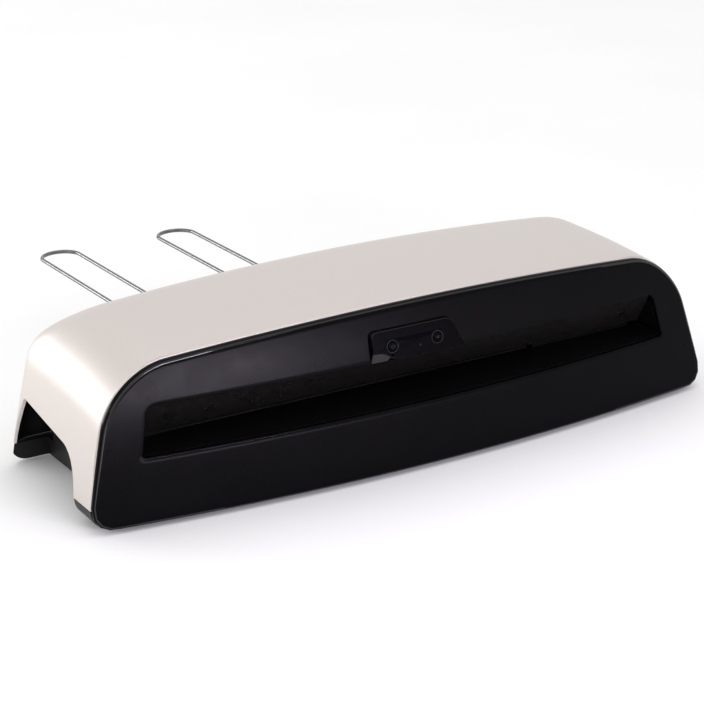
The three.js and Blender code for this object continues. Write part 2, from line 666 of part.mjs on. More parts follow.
// ---- The assembly ----
add("top_shell", topShell(), silver());
add("front_fascia", frontFascia().subtract(buttonWells()), glossBlack());
add("base_tray", baseTray(), satinBlack());
add("front_guide_lower", frontGuideLower(), satinBlack());
add("front_guide_upper", frontGuideUpper(), satinBlack());
add("control_pod", controlPod(), glossBlack());
for (const [key, x] of Object.entries(BUTTON_X)) {
  add(`${key}_button`, button(x), glossBlack());
  add(`${key}_light_ring`, buttonRing(x), lightRing());
}
add("rear_cover", rearCover(), satinBlack());
add("rear_guide_lower", rearGuide(REAR_LIP_Z - 2, NIP_Z - 3.5, 2), satinBlack());
add("rear_guide_upper", rearGuide(REAR_MOUTH_TOP, NIP_Z + 2, 2), satinBlack());
const rockerKey = add("power_switch", rocker(), satinBlack());
rockerKey.position.set(SWITCH.x, SWITCH.pivotY, SWITCH.z);
rockerKey.rotation.x = THREE.MathUtils.degToRad(-SWITCH.tilt);
add("cord_gland", cordGland(), rubber());
for (const [side, sign] of [["left", -1], ["right", 1]]) {
  const x = FEED_X + sign * WIRE_OFFSET;
  add(`wire_support_${side}`, wireSupport(x), chrome());
  add(`wire_clip_${side}`, wireClip(x), satinBlack());
  add(`rubber_foot_front_${side}`, rodZ(9, 0, FOOT_HEIGHT - GAP, sign * 215, 44, 20), rubber());
  add(`rubber_foot_rear_${side}`, rodZ(9, 0, FOOT_HEIGHT - GAP, sign * 215, 172, 20), rubber());
  add(`chassis_plate_${side}`, chassisPlate(side), steel());
  for (const row of ["front", "rear"]) {
    add(`pressure_spring_${row}_${side}`, pressureSpring(side, ROLLER_Y[row]), steel());
  }
}
add("cross_rail_lower", crossRail(66, 34.5), steel());
add("cross_rail_upper", crossRail(113, 78), steel());
add("heater_plate_upper", heaterPlate("upper"), aluminium());
add("heater_plate_lower", heaterPlate("lower"), aluminium());
add("thermostat", rodZ(6, NIP_Z + 4.6, NIP_Z + 12, FEED_X, 79, 14), aluminium());
for (const row of ["front", "rear"]) {
  for (const level of ["upper", "lower"]) roller(row, level);
}
add("idler_gear", gear(ROLLER_TEETH, phase.idler, BORE_RADIUS, GEAR_X, IDLER_Y, AXIS_Z.lower), acetal());
add("motor_pinion", pinion(), steel());
add("gear_motor", gearMotor(), steel());
add("motor_bracket", motorBracket(), steel());
add("power_board", powerBoard(), boardGreen());
add("button_board", block(-44, 28, 22, 23.6, 92, 108), boardGreen());

// The box of the whole machine, wires included, is centred on the origin in X and Y.
const laminator = new THREE.Group();
const frontEdge = LEAN * (FOOT_HEIGHT + SKIN);
machine.position.set(0, -(frontEdge + WIRE_TIP_Y) / 2, 0);
laminator.add(machine);

export default laminator;
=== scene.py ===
# Looks of the desktop pouch laminator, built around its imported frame. Lengths inside the functions are in
# millimetres of the model's own frame (x = 0 at mid width, y = 0 at the front foot, z = 0 on the table).
import math

import bmesh
import bpy
import numpy as np
from mathutils import Matrix, Vector


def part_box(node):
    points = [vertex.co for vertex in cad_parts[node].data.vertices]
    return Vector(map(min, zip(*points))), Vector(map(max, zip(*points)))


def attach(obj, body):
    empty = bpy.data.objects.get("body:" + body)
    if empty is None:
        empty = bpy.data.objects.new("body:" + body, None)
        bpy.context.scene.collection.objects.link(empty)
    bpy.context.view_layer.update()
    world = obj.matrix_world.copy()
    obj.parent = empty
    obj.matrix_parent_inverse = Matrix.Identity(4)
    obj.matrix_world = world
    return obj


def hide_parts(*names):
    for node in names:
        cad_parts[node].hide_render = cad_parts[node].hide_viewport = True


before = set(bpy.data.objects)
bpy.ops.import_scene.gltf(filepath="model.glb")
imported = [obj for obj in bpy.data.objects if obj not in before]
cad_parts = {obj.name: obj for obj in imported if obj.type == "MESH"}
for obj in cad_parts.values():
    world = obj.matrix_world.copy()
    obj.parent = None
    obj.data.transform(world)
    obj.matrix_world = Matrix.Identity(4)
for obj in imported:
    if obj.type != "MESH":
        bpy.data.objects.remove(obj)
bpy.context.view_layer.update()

MM = 0.001
WIRE_TIP_Y = 506
ORIGIN_Y = WIRE_TIP_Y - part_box("wire_support_left")[1].y / MM

# ---- The machine's dimensions ----
GAP = 0.3
BODY_DEPTH = 196
FOOT_HEIGHT = 3
FOOT_HALF_WIDTH = 275
SIDE_LEAN = 20.6
SIDE_CURVE = 4
REAR_TAPER = 3
CROWN_FRONT = 130.3
CROWN_RISE = 6.5
CROWN_PEAK_Y = 115
DROOP_FRONT = 19.8
DROOP_REAR = 14
DROOP_SPAN = 260
TOP_RADIUS = 40
FOOT_RADIUS = 18
REAR_RADIUS = 58
REAR_CORNER = 22
SHELL_BOTTOM = 18
WALL = 2.6
BOW = 21.8
LEAN = 16 / 120
FASCIA_THICK = 4
TRAY_HALF = 237
REAR_SILL_Y = 186
FRONT_SILL_Y = 60.5
FRONT_SILL_START = 20
SILL_INSET = 0.4
PANEL_HALF = 228
PANEL_TOP = 78
PANEL_RADIUS = 8
PANEL_Y = BODY_DEPTH - 3
THROUGH_PANEL = ("Y", 180, 210)
SCREW_PLACES = [(x, y) for y in (34, 184) for x in (-180, 0, 180)]

FLOOR_Z = 52
RECESS_TOP = 88.5
RECESS_HALF_LOW = 230.5
RECESS_HALF_HIGH = 223
RECESS_CORNER = 9
RECESS_FOOT = 3
GUIDE_END_Y = 62
GUIDE_TOP = 88.8
GUIDE_DROP = 31.8
GUIDE_RUN = 26
GUIDE_SLOPE_Y = 30
GUIDE_SHEET = 4.4
FEED_X = -34
FEED_HALF = 162
NIP_Z = 55
MOUTH = (64, 76)
SWITCH = (178, 42)
GLAND = (208, 36)
BUTTON_X = {"power": -30, "mode": 9}
BUTTON_Z = 100
POD_PROUD = 3.6
RING_WELL = 5.6
CAP_WELL = 4.3
WELL_DEPTH = 12


# ---- Points, meshes and pieces ----
def place(point):
    x, y, z = point
    return (x * MM, (y - ORIGIN_Y) * MM, z * MM)


def model(point):
    """A point of the row frame in the model's own millimetres."""
    return (point[0] / MM, point[1] / MM + ORIGIN_Y, point[2] / MM)


def new_object(name, points, faces):
    """One closed mesh with its faces pointing out."""
    mesh = bpy.data.meshes.new(name)
    mesh.from_pydata([place(p) for p in points], [], [tuple(f) for f in faces])
    build = bmesh.new()
    build.from_mesh(mesh)
    bmesh.ops.remove_doubles(build, verts=build.verts, dist=1e-7)
    bmesh.ops.recalc_face_normals(build, faces=build.faces)
    build.to_mesh(mesh)
    build.free()
    piece = bpy.data.objects.new(name, mesh)
    bpy.context.scene.collection.objects.link(piece)
    return piece


def dress(piece, body, material, replaces=(), bevel=0, angle=35):
    """Smooth shading, rounded edges, a finish, and the body that the piece rides on."""
    piece.data.shade_smooth()
    piece.data.set_sharp_from_angle(angle=math.radians(angle))
    if bevel:
        edge = piece.modifiers.new("edges", "BEVEL")
        edge.width = bevel * MM
        edge.segments = 3
        edge.limit_method = "ANGLE"
        edge.angle_limit = math.radians(angle)
        edge.use_clamp_overlap = False
        edge.harden_normals = True
    piece.data.materials.clear()
    piece.data.materials.append(material)
    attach(piece, body)
    if replaces:
        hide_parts(*replaces)
    return piece


def grid_faces(rows, columns, loop_rows=False, loop_columns=False):
    """Quads over a grid of points, closed on itself in either direction."""
    faces = []
    for i in range(rows if loop_rows else rows - 1):
        for j in range(columns if loop_columns else columns - 1):
            i2 = (i + 1) % rows
            j2 = (j + 1) % columns
            faces.append((i * columns + j, i * columns + j2, i2 * columns + j2, i2 * columns + j))
    return faces


def loft(rings, caps=True, loop=False):
    """Closed rings of points, skinned one to the next."""
    count = len(rings[0])
    faces = grid_faces(len(rings), count, loop_rows=loop, loop_columns=True)
    if caps and not loop:
        faces.append(tuple(range(count)))
        faces.append(tuple(range((len(rings) - 1) * count, len(rings) * count)))
    return [p for ring in rings for p in ring], faces


def walled(name, rows):
    """A wall between two sides: rows of (one side's points, the other side's points), closed all round."""
    count = len(rows[0][0])
    rings = [[tuple(p) for p in [*one, *other[::-1]]] for one, other in rows]
    points, faces = loft(rings, caps=False)
    for base in (0, (len(rings) - 1) * 2 * count):
        for j in range(count - 1):
            faces.append((base + j, base + j + 1, base + 2 * count - 2 - j, base + 2 * count - 1 - j))
    return new_object(name, points, faces)


def softened(corners, radius, steps=4):
    """A closed outline with each corner rounded; radius is one number or one for each corner."""
    count = len(corners)
    radii = [radius] * count if np.isscalar(radius) else radius
    out = []
    for i, corner in enumerate(corners):
        if radii[i] == 0:
            out.append(tuple(corner))
            continue
        here = np.array(corner, float)
        ends = []
        for other in (corners[i - 1], corners[(i + 1) % count]):
            way = np.array(other, float) - here
            length = np.hypot(*way)
            ends.append(here + way / length * min(radii[i], length * 0.49))
        for k in range(steps + 1):
            t = k / steps
            out.append(tuple((1 - t) ** 2 * ends[0] + 2 * t * (1 - t) * here + t * t * ends[1]))
    return out


def box_outline(a0, a1, b0, b1, radius, steps=4):
    return softened([(a0, b0), (a1, b0), (a1, b1), (a0, b1)], radius, steps)


def prism(name, outline, axis, start, end):
    """An outline carried along X, Y or Z."""
    orders = {"X": lambda a, b, c: (c, a, b), "Y": lambda a, b, c: (a, c, b),
              "Z": lambda a, b, c: (a, b, c)}
    order = orders[axis]
    return new_object(name, *loft([[order(a, b, c) for a, b in outline] for c in (start, end)]))


def turned(name, centre, direction, profile, sides=48, ring=False):
    """A profile of (along, radius) turned about a line; a ring profile closes on itself."""
    along = Vector(direction).normalized()
    across = along.orthogonal().normalized()
    third = along.cross(across)
    rings = []
    for k in range(sides):
        angle = 2 * math.pi * k / sides
        out = across * math.cos(angle) + third * math.sin(angle)
        rings.append([tuple(Vector(centre) + along * a + out * r) for a, r in profile])
    points = [p for one in rings for p in one]
    faces = grid_faces(sides, len(profile), loop_rows=True, loop_columns=ring)
    return new_object(name, points, faces)


def swept(name, path, radius, sides=16):
    """A round wire along a path, with domed ends."""
    line = [Vector(p) for p in path]
    rings = []
    normal = (line[1] - line[0]).orthogonal()
    for i, here in enumerate(line):
        way = (line[min(i + 1, len(line) - 1)] - line[max(i - 1, 0)]).normalized()
        normal = (normal - way * normal.dot(way)).normalized()
        side = way.cross(normal)
        caps = [(0, 1)]
        if i in (0, len(line) - 1):
            caps = [(math.cos(a), math.sin(a)) for a in np.linspace(0, math.pi / 2, 5)[1:]]
            caps = [(-c if i == 0 else c, s) for c, s in caps]
            if i:
                caps.reverse()
        for push, share in caps:
            centre = here + way * push * radius * 0.6
            rings.append([tuple(centre + (normal * math.cos(a) + side * math.sin(a)) * radius * share)
                          for a in np.linspace(0, 2 * math.pi, sides, endpoint=False)])
    return new_object(name, *loft(rings))


def combine(piece, others):
    """Cuts other objects out of a piece, and removes them."""
    for other in others:
        step = piece.modifiers.new("combine", "BOOLEAN")
        step.object = other
        step.operation = "DIFFERENCE"
        step.solver = "EXACT"
    graph = bpy.context.evaluated_depsgraph_get()
    result = bpy.data.meshes.new_from_object(piece.evaluated_get(graph))
    piece.modifiers.clear()
    piece.data = result
    for other in others:
        bpy.data.objects.remove(other)
    return piece


# ---- The body's outer form ----
def half_width(y, z):
    rise = (z - FOOT_HEIGHT) / 100
    return FOOT_HALF_WIDTH - SIDE_LEAN * rise - SIDE_CURVE * rise * rise - REAR_TAPER * y / BODY_DEPTH


def top_height(x, y):
    to_peak = np.maximum(0, CROWN_PEAK_Y - y) / (CROWN_PEAK_Y - LEAN * CROWN_FRONT)
    droop = DROOP_FRONT + (DROOP_REAR - DROOP_FRONT) * np.clip(y / 150, 0, 1)
    return CROWN_FRONT + CROWN_RISE * (1 - to_peak ** 2) - droop * (x / DROOP_SPAN) ** 2


def rounded(a, b, radius):
    both = (a < radius) & (b < radius)
    return np.where(both, radius - np.hypot(radius - a, radius - b), np.minimum(a, b))


def depth_inside(p):
    """Depth of points below the body's surface."""
    x, y, z = np.moveaxis(np.asarray(p, float), -1, 0)
    side = half_width(y, z) - np.abs(x)
    top = top_height(x, y) - z
    share = np.clip((side - top) / 60 + 0.5, 0, 1)
    rear_radius = REAR_CORNER + (REAR_RADIUS - REAR_CORNER) * share * share * (3 - 2 * share)
    upper = rounded(rounded(side, top, TOP_RADIUS), BODY_DEPTH - y, rear_radius)
    return np.minimum(upper, rounded(side, z - FOOT_HEIGHT, FOOT_RADIUS))


def hit(origin, way, inset=0.0, depth=depth_inside):
    """Where lines from inside the body meet the surface that lies inset below its own."""
    origin, way = np.broadcast_arrays(np.asarray(origin, float), np.asarray(way, float))
    near = np.zeros(origin.shape[:-1])
    far = near + 300
    for _ in range(42):
        middle = (near + far) / 2
        inside = depth(origin + way * middle[..., None]) > inset
        near, far = np.where(inside, middle, near), np.where(inside, far, middle)
    return origin + way * near[..., None]


def face_y(x, z):
    """The bowed and leaning front face."""
    return BOW * (x / DROOP_SPAN) ** 2 + LEAN * z


def arch_height(y):
    """Lower edge of the shell's sides, with the hand hold's arch."""
    y = np.asarray(y, float)
    rise = (-14 + np.sqrt(196 + 60 * np.maximum(y - 61, 0))) / 30
    fall = (6 - np.sqrt(np.maximum(36 - 8 * (y - 169), 0))) / 4
    z = np.where(y < 90, 18 + 52 * rise - 21 * rise ** 2, 49 + 9 * (y - 90) / 79)
    z = np.where(y > 169, 58 - 3 * fall ** 2, z)
    z = np.where(y > 173, 55 - (y - 173) * 37 / 12, z)
    return np.where((y < 61) | (y > 185), SHELL_BOTTOM, z)


# ---- Finishes ----
class Finish:
    """A procedural material. Its textures lie in the piece's own metres, so they stay with the piece."""

    def __init__(self, name, roughness=0.5, metallic=0.0, specular=0.5, **sockets):
        self.material = bpy.data.materials.new(name)
        self.material.use_nodes = True
        self.nodes = self.material.node_tree.nodes
        self.shader = self.nodes["Principled BSDF"]
        settings = {"Roughness": roughness, "Metallic": metallic, "Specular IOR Level": specular, **sockets}
        for socket, value in settings.items():
            self.shader.inputs[socket].default_value = value
        self.coordinates = self.nodes.new("ShaderNodeTexCoord").outputs["Object"]
        self.heights = []

    def link(self, source, target):
        self.material.node_tree.links.new(source, target)

    def stretched(self, scale):
        """Coordinates scaled by a different amount along each axis."""
        node = self.nodes.new("ShaderNodeMapping")
        node.inputs["Scale"].default_value = scale
        self.link(self.coordinates, node.inputs["Vector"])
        return node.outputs["Vector"]

    def noise(self, scale, detail=2.0, along=None):
        node = self.nodes.new("ShaderNodeTexNoise")
        node.inputs["Scale"].default_value = scale
        node.inputs["Detail"].default_value = detail
        self.link(along or self.coordinates, node.inputs["Vector"])
        return node.outputs["Fac"]

    def cells(self, scale):
        node = self.nodes.new("ShaderNodeTexVoronoi")
        node.inputs["Scale"].default_value = scale
        self.link(self.coordinates, node.inputs["Vector"])
        return node.outputs["Color"]

    def spread(self, value, low, high, start=0.3, end=0.7):
        """Maps a texture's start..end onto low..high."""
        node = self.nodes.new("ShaderNodeMapRange")
        for socket, number in (("From Min", start), ("From Max", end), ("To Min", low), ("To Max", high)):
            node.inputs[socket].default_value = number
        self.link(value, node.inputs["Value"])
        return node.outputs["Result"]

    def ramp(self, value, *stops):
        """Colours over a texture's value, from (position, colour) stops."""
        node = self.nodes.new("ShaderNodeValToRGB")
        elements = node.color_ramp.elements
        for position, colour in stops[2:]:
            elements.new(position).color = (*colour, 1)
        for element, (position, colour) in zip((elements[0], elements[-1]), (stops[0], stops[1])):
            element.position = position
            element.color = (*colour, 1)
        self.link(value, node.inputs["Fac"])
        return node.outputs["Color"]

    def colour(self, value, *stops):
        self.link(self.ramp(value, *stops), self.shader.inputs["Base Color"])
        return self

    def rough(self, value, low, high):
        self.link(self.spread(value, low, high), self.shader.inputs["Roughness"])
        return self

    def relief(self, height, distance, strength=1.0):
        """Bump of a real depth in millimetres, stacked on what is there already."""
        node = self.nodes.new("ShaderNodeBump")
        node.inputs["Strength"].default_value = strength
        node.inputs["Distance"].default_value = distance * MM
        self.link(height, node.inputs["Height"])
        if self.heights:
            self.link(self.heights[-1], node.inputs["Normal"])
        self.heights.append(node.outputs["Normal"])
        self.link(node.outputs["Normal"], self.shader.inputs["Normal"])
        return self


def shell_paint():
    """Satin silver paint: fine flake under a thin clear coat."""
    f = Finish("shell_paint", metallic=0.45, specular=0.5, **{"Coat Weight": 0.25, "Coat Roughness": 0.22})
    flake = f.noise(2600, 1)
    f.colour(f.noise(4200, 1), (0.25, (0.53, 0.478, 0.447)), (0.8, (0.635, 0.585, 0.557)))
    f.rough(flake, 0.36, 0.46)
    return f.relief(f.noise(900, 2), 0.004).relief(f.noise(55, 1), 0.03, 0.5).material


def gloss_black(name, specular):
    """Polished black plastic with the faint waviness of a moulding and a little dust."""
    f = Finish(name, specular=specular)
    f.colour(f.noise(35, 3), (0.3, (0.0012, 0.001, 0.0015)), (0.8, (0.0018, 0.0015, 0.0022)))
    f.rough(f.noise(60, 2), 0.09, 0.13)
    return f.relief(f.noise(20, 1), 0.012, 0.25).material


def textured_black(name, light=0.006, grain=1500, depth=0.03, low=0.42, high=0.56, specular=0.35):
    """Spark-eroded black plastic."""
    f = Finish(name, specular=specular)
    dark = tuple(light * k for k in (0.8, 0.76, 0.74))
    f.colour(f.noise(grain * 0.8, 2), (0.3, dark), (0.75, tuple(light * k for k in (1.5, 1.42, 1.4))))
    f.rough(f.noise(60, 3), low, high)
    return f.relief(f.noise(grain * 0.4, 2), depth, 0.4).material


def metal(name, dark, bright, rough, along=(1, 1, 1), scale=400, depth=0.004):
    """Metal with its colour, roughness and fine lines drawn along one way."""
    f = Finish(name, metallic=1.0)
    lines = f.noise(scale, 3, f.stretched(along))
    f.colour(lines, (0.3, dark), (0.7, bright))
    f.rough(f.noise(scale * 0.3, 2, f.stretched(along)), *rough)
    return f.relief(lines, depth, 0.5).material


def zinc_steel():
    """Galvanised sheet, with spangles of slightly different grey."""
    f = Finish("zinc_steel", metallic=1.0)
    spangle = f.cells(170)
    grey = f.nodes.new("ShaderNodeSeparateColor")
    f.link(spangle, grey.inputs["Color"])
    f.colour(grey.outputs["Red"], (0.0, (0.42, 0.43, 0.45)), (1.0, (0.6, 0.61, 0.63)))
    f.rough(grey.outputs["Green"], 0.28, 0.42)
    return f.relief(f.noise(900, 3), 0.004, 0.4).material


def silicone_rubber():
    f = Finish("silicone_rubber", specular=0.4)
    f.colour(f.noise(120, 4), (0.3, (0.33, 0.062, 0.028)), (0.75, (0.43, 0.09, 0.042)))
    f.rough(f.noise(300, 2), 0.55, 0.7)
    return f.relief(f.noise(1800, 2), 0.01, 0.5).material


def acetal():
    f = Finish("acetal", specular=0.5)
    f.colour(f.noise(90, 3), (0.3, (0.74, 0.71, 0.64)), (0.75, (0.83, 0.8, 0.73)))
    f.rough(f.noise(500, 2), 0.32, 0.44)
    return f.relief(f.noise(1500, 2), 0.006, 0.4).material


def circuit_board():
    """Green lacquer over copper tracks."""
    f = Finish("circuit_board", specular=0.5)
    tracks = f.nodes.new("ShaderNodeTexBrick")
    tracks.inputs["Scale"].default_value = 90
    tracks.inputs["Mortar Size"].default_value = 0.06
    tracks.inputs["Color1"].default_value = (0.008, 0.1, 0.03, 1)
    tracks.inputs["Color2"].default_value = (0.01, 0.13, 0.04, 1)
    tracks.inputs["Mortar"].default_value = (0.05, 0.24, 0.08, 1)
    f.link(f.coordinates, tracks.inputs["Vector"])
    f.link(tracks.outputs["Color"], f.shader.inputs["Base Color"])
    f.rough(f.noise(200, 3), 0.3, 0.45)
    return f.relief(tracks.outputs["Fac"], 0.03, 0.6).material


def light_ring():
    """Frosted clear plastic, unlit, over the lamp of a button."""
    f = Finish("light_ring", specular=0.06, **{"Transmission Weight": 0.1})
    f.colour(f.noise(700, 2), (0.3, (0.007, 0.0075, 0.009)), (0.75, (0.012, 0.013, 0.015)))
    return f.rough(f.noise(900, 2), 0.4, 0.55).material


def marking():
    """Pad-printed dark grey marks, barely lighter than the plastic."""
    f = Finish("marking", specular=0.15)
    f.colour(f.noise(1500, 2), (0.3, (0.016, 0.017, 0.019)), (0.75, (0.024, 0.025, 0.027)))
    return f.rough(f.noise(1200, 2), 0.4, 0.55).material


PAINT = shell_paint()
GLOSS = gloss_black("gloss_black", 0.05)
POD_GLOSS = gloss_black("gloss_black_pod", 0.02)
EDGE_GLOSS = gloss_black("gloss_black_edge", 0.5)
BLACK = textured_black("textured_black")
RECESS_BLACK = textured_black("recess_black", 0.008, grain=240, depth=0.01, low=0.26, high=0.36,
                              specular=0.22)
FLOOR_BLACK = textured_black("recess_floor_black", 0.003, grain=240, depth=0.01, low=0.4, high=0.5,
                             specular=0.08)
RUBBER = textured_black("rubber_black", light=0.012, grain=1100, depth=0.06, low=0.75, high=0.9)
CHROME = metal("chrome_wire", (0.13, 0.128, 0.128), (0.2, 0.198, 0.198), (0.1, 0.2), scale=300, depth=0.002)
STEEL = metal("ground_steel", (0.5, 0.51, 0.53), (0.66, 0.67, 0.69), (0.2, 0.34), (0.15, 1, 1), 1400)
ALUMINIUM = metal("drawn_aluminium", (0.6, 0.61, 0.63), (0.76, 0.77, 0.79), (0.3, 0.44), (0.04, 1, 1), 1600)
ZINC = zinc_steel()
COATED = metal("coated_aluminium", (0.03, 0.03, 0.031), (0.05, 0.05, 0.052), (0.4, 0.55), (0.04, 1, 1), 1600)
# Zinc darkened to near black: painted shade for the dark inside of the machine, seen through the feed slit.
ZINC_PAINTED_SHADE = metal("zinc_painted_shade", (0.035, 0.036, 0.038), (0.06, 0.061, 0.064), (0.38, 0.52), scale=240)
SILICONE = silicone_rubber()
ACETAL = acetal()
BOARD = circuit_board()
RING = light_ring()
MARKING = marking()


# ---- Casings ----
def top_shell():
    """The silver shell: sections across the body, then rays that fan out to the rear opening, skinned on both
    sides of its wall."""
    columns = [(208, 66, 1, 0, share) for share in np.linspace(0, 1, 9)[:-1]]
    columns += [(208, 66, math.cos(a), math.sin(a), 1) for a in np.linspace(0, math.pi / 2, 17)]
    columns += [(x, 66, 0, 1, 1) for x in np.linspace(208, 0, 20)[1:]]
    columns += [(-x, z, -dx, dz, share) for x, z, dx, dz, share in columns[-2::-1]]
    x0, z0, dx, dz, share = np.array(columns).T

    def row(y, tilt, settle=14):
        """Outer and inner points along one row; the side columns reach down to the edge at their own y."""
        z = z0.copy()
        way = np.stack([dx * np.cos(tilt), np.sin(tilt) + 0 * dx, dz * np.cos(tilt)], -1)
        for _ in range(settle):
            origin = np.stack([x0, np.broadcast_to(y, x0.shape), z], -1)
            points = hit(origin, way)
            lower = arch_height(points[:, 1])
            z = np.where(share < 1, lower + (z0 - lower) * share, z0)
        return points, hit(origin, way, WALL)

    front = np.full(x0.shape, 30.0)
    for _ in range(8):
        points = row(front, 0, 6)[0]
        front = face_y(points[:, 0], points[:, 2]) + FASCIA_THICK + GAP
    rows = [row(front + (48 - front) * t, 0) for t in (0, 0.06, 0.14, 0.25, 0.4, 0.6, 0.8)]
    stations = [48, 53, 57, 59.5, 61, 61.6, 62.4, 63.5, 65, 67, 70, 74, 79, 85, 90, 100, 112, 125, 138]
    rows += [row(y, 0) for y in stations]

    def opening(p):
        """Depth inside the rear opening's outline."""
        return rounded(PANEL_HALF + GAP - np.abs(p[..., 0]), PANEL_TOP + GAP - p[..., 2], PANEL_RADIUS + GAP)

    edge_z = np.where(share < 1, SHELL_BOTTOM + (z0 - SHELL_BOTTOM) * share, z0)
    start = np.stack([x0, np.full(x0.shape, 138.0), edge_z], -1)
    edge = hit(start, np.stack([dx, 0 * dx, dz], -1), depth=opening)
    last = np.arctan2(BODY_DEPTH - 138, np.hypot(edge[:, 0] - x0, edge[:, 2] - edge_z))
    targets = [143, 149, 155, 161, 165.5, 169, 170.3, 171.6, 173, 176, 179.5, 182.5, 184.9, 186.2, 188.5, 191,
               193.2, 194.8, 195.7]
    angle = 0.1
    for y in targets:
        for _ in range(12):
            p = hit((208, 138, float(arch_height(y))), (math.cos(angle), math.sin(angle), 0))
            angle = math.atan2(y - 138, p[0] - 208)
        rows.append(row(138.0, last * angle / last[0]))
    rows += [row(138.0, last * t) for t in (0.8, 0.84, 0.88, 0.92, 0.96)]
    edge[:, 1] = BODY_DEPTH
    rows.append((edge, edge - (0, WALL, 0)))

    shell = walled("shell", rows)
    dress(shell, "casing", PAINT, ["top_shell"], bevel=0.9, angle=50)
    shell.data.materials.append(BLACK)
    middle = Vector(place((0, 100, 40)))
    for face in shell.data.polygons:
        facing_in = face.normal.dot(face.center - middle) < 0
        face.material_index = int(facing_in and depth_inside(model(face.center)) > WALL * 0.9)


def recess_half(z):
    slope = (RECESS_HALF_LOW - RECESS_HALF_HIGH) / (RECESS_TOP - FLOOR_Z)
    return RECESS_HALF_LOW - slope * (z - FLOOR_Z)


def recess_ring():
    """The recess outline, counter-clockwise from the front, with the way out from it at each point."""
    ring = []
    foot = RECESS_FOOT
    half = recess_half(FLOOR_Z)
    for x in np.linspace(-half + foot, half - foot, 61):
        ring.append((x, FLOOR_Z, 0, -1))
    for a in np.linspace(-math.pi / 2, 0, 15)[1:-1]:
        ring.append((half - foot + foot * math.cos(a), FLOOR_Z + foot + foot * math.sin(a),
                     math.cos(a), math.sin(a)))
    low = FLOOR_Z + foot
    high = RECESS_TOP - RECESS_CORNER
    for z in np.linspace(low, high, 8):
        ring.append((recess_half(z), z, 1, 0))
    centre = recess_half(high) - RECESS_CORNER
    for a in np.linspace(0, math.pi / 2, 19)[1:-1]:
        ring.append((centre + RECESS_CORNER * math.cos(a), high + RECESS_CORNER * math.sin(a),
                     math.cos(a), math.sin(a)))
    for x in np.linspace(centre, 0, 30):
        ring.append((x, RECESS_TOP, 0, 1))
    right = [p for p in ring if p[0] >= -1e-9]
    left = [(-x, z, -dx, dz) for x, z, dx, dz in right if x > 1e-9]
    return np.array(right + left[::-1])


def rolled(radius, steps=4):
    """(distance in from an edge, depth below the face) around a rolled edge, from the wall to the face."""
    angles = np.linspace(0, math.pi / 2, steps + 1)
    return [(radius * (1 - math.cos(a)), radius * (1 - math.sin(a))) for a in angles]


def on_face(outline, depth):
    """Outline points in X and Z, set at a depth behind the front face."""
    x, z = np.asarray(outline, float).T
    return np.stack([x, face_y(x, z) + depth, z], -1)


def facing_front(polygon):
    """1 for a polygon square to the leaning front face, 0 for one side-on to it."""
    return polygon.normal.dot(Vector((0, -1, LEAN)).normalized())


def front_fascia():
    """A bowed plate around the recess, with rolled outer and inner edges."""
    x, z, dx, dz = recess_ring().T
    inner = np.stack([x, z], -1)
    way = np.stack([dx, dz], -1)
    on_plane = lambda p: depth_inside(on_face(p[..., [0, 2]].reshape(-1, 2), 0)).reshape(p.shape[:-1])
    edge = hit(np.stack([x, 0 * x, z], -1), np.stack([dx, 0 * x, dz], -1), 0.4, on_plane)
    outer = edge[:, [0, 2]]
    roll_in = rolled(1.1)
    roll_out = rolled(2.4, 6)
    loops = [on_face(inner, FASCIA_THICK)]
    loops += [on_face(inner + way * shift, depth) for shift, depth in roll_in]
    from_inner = inner + way * roll_in[-1][0]
    to_outer = outer - way * roll_out[-1][0]
    loops += [on_face(from_inner + (to_outer - from_inner) * t, 0) for t in (0.08, 0.28, 0.5, 0.72, 0.92)]
    loops += [on_face(outer - way * shift, depth) for shift, depth in roll_out[::-1]]
    loops.append(on_face(outer, FASCIA_THICK))
    plate = new_object("fascia", *loft([[tuple(p) for p in loop] for loop in loops], loop=True))
    combine(plate, [well(x, CAP_WELL + GAP, WELL_DEPTH) for x in BUTTON_X.values()])
    dress(plate, "casing", GLOSS, ["front_fascia"])
    plate.data.materials.append(EDGE_GLOSS)
    for polygon in plate.data.polygons:
        x, _, z = model(polygon.center)
        at_recess = abs(x) < RECESS_HALF_LOW + 4 and FLOOR_Z - 4 < z < RECESS_TOP + 4
        polygon.material_index = int(0.75 < facing_front(polygon) < 0.985 and not at_recess)


# ---- Buttons ----
INWARD = (0, 1, -LEAN)


def button_place(x):
    return (x, face_y(x, BUTTON_Z) - POD_PROUD, BUTTON_Z)


def well(x, radius, depth):
    """A round cutter on a button's axis."""
    return turned("well", button_place(x), INWARD, [(-6, 0), (-6, radius), (depth, radius), (depth, 0)])


